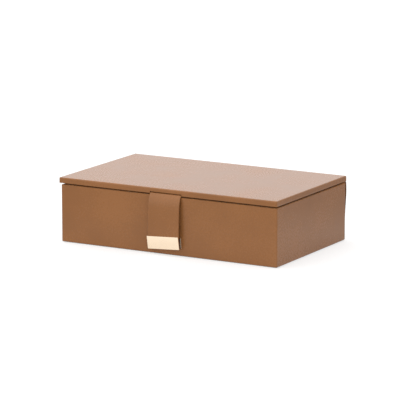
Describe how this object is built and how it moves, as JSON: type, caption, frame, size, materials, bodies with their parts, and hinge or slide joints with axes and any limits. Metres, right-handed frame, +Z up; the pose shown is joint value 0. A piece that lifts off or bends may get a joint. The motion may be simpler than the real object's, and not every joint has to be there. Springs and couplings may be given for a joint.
{
  "type": "stationery box",
  "caption": "Leather-covered rectangular box for papers, with a flat lid hinged along the back and a strap that closes it by magnets under a metal clip.",
  "frame": {"origin": "middle of the underside, in the plane that the box stands on", "axes": "+X to the right along the long side, +Y to the back where the hinge is, +Z up"},
  "size_m": [0.3032, 0.1913, 0.0805],
  "materials": {
    "leather": "smooth satin tan leather cloth",
    "suede": "matt beige suede cloth over padded card",
    "greyboard": "plain pressed board",
    "card": "plain card",
    "clip_metal": "polished pale gold",
    "magnet": "nickel plated",
    "foam": "closed-cell foam"
  },
  "bodies": {
    "case": {"base_sheet": "leather", "base_filler": "card", "base_board": "greyboard", "front_board": "greyboard", "back_board": "greyboard", "left_board": "greyboard", "right_board": "greyboard", "wall_magnets": "magnet", "case_cover": "leather", "spine_cover": "leather", "hinge_strip_lower": "leather", "front_lining": "suede", "back_lining": "suede", "left_lining": "suede", "right_lining": "suede", "floor_lining": "suede"},
    "lid": {"lid_board": "greyboard", "lid_cover": "leather", "lid_filler": "card", "lid_lining": "suede", "hinge_strip_upper": "leather", "strap_anchor": "leather"},
    "strap": {"strap_cover": "leather", "strap_core": "card", "strap_backing": "suede", "strap_clip": "clip_metal", "clip_pad": "foam", "clip_magnets": "magnet"}
  },
  "joints": [
    {"name": "lid_hinge", "type": "hinge", "parent": "case", "child": "lid", "pos_m": [0, 0.09245, 0.07335], "axis": [-1, 0, 0], "range_deg": [0, 180]},
    {"name": "strap_flex", "type": "hinge", "parent": "lid", "child": "strap", "pos_m": [-0.0018, -0.09037, 0.07457], "axis": [-1, 0, 0], "range_deg": [0, 120]}
  ]
}
